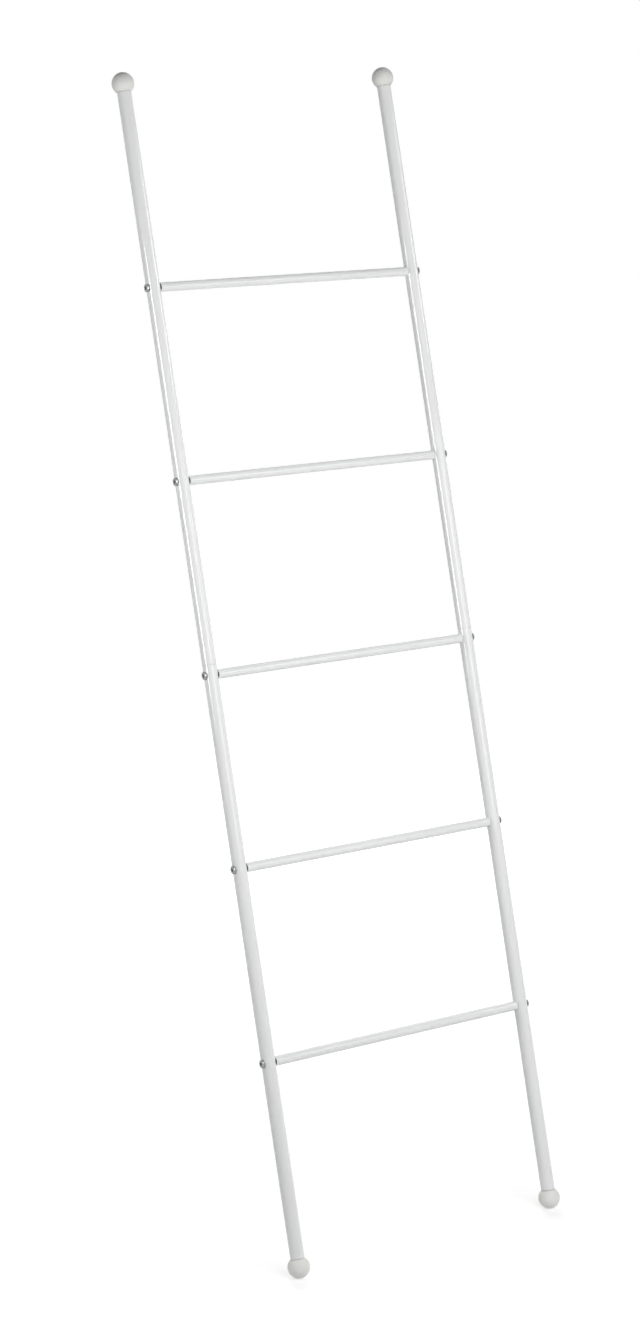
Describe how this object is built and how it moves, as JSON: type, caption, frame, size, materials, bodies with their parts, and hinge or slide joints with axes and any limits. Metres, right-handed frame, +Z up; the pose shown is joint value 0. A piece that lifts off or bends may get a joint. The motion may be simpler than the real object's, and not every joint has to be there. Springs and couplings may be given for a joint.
{
  "type": "towel ladder",
  "caption": "Leaning towel ladder of round metal tube: parallel rails screwed to evenly spaced rungs for hanging towels, with ball ends that rest on the floor and the wall.",
  "frame": {"origin": "on the floor, midway between the rails and halfway along the ladder's depth, in its leaning pose", "axes": "+X along the rungs to the right as seen from the front, +Y back towards the wall that it leans on, +Z up"},
  "size_m": [0.436, 0.3842, 1.4563],
  "materials": {
    "white_lacquer": "gloss white lacquer",
    "white_plastic": "matt moulded, warm white",
    "plated_steel": "bright zinc plate",
    "sleeve_steel": "drawn tube, bare",
    "insert_steel": "turned, zinc plate"
  },
  "bodies": {
    "root": {"left_rail_lower": "white_lacquer", "left_rail_upper": "white_lacquer", "left_rail_sleeve": "sleeve_steel", "left_foot_ball": "white_plastic", "left_top_ball": "white_plastic", "right_rail_lower": "white_lacquer", "right_rail_upper": "white_lacquer", "right_rail_sleeve": "sleeve_steel", "right_foot_ball": "white_plastic", "right_top_ball": "white_plastic", "bottom_rung": "white_lacquer", "bottom_rung_left_insert": "insert_steel", "bottom_rung_left_screw": "plated_steel", "bottom_rung_right_insert": "insert_steel", "bottom_rung_right_screw": "plated_steel", "lower_rung": "white_lacquer", "lower_rung_left_insert": "insert_steel", "lower_rung_left_screw": "plated_steel", "lower_rung_right_insert": "insert_steel", "lower_rung_right_screw": "plated_steel", "middle_rung": "white_lacquer", "middle_rung_left_insert": "insert_steel", "middle_rung_left_screw": "plated_steel", "middle_rung_right_insert": "insert_steel", "middle_rung_right_screw": "plated_steel", "upper_rung": "white_lacquer", "upper_rung_left_insert": "insert_steel", "upper_rung_left_screw": "plated_steel", "upper_rung_right_insert": "insert_steel", "upper_rung_right_screw": "plated_steel", "top_rung": "white_lacquer", "top_rung_left_insert": "insert_steel", "top_rung_left_screw": "plated_steel", "top_rung_right_insert": "insert_steel", "top_rung_right_screw": "plated_steel"}
  },
  "joints": []
}
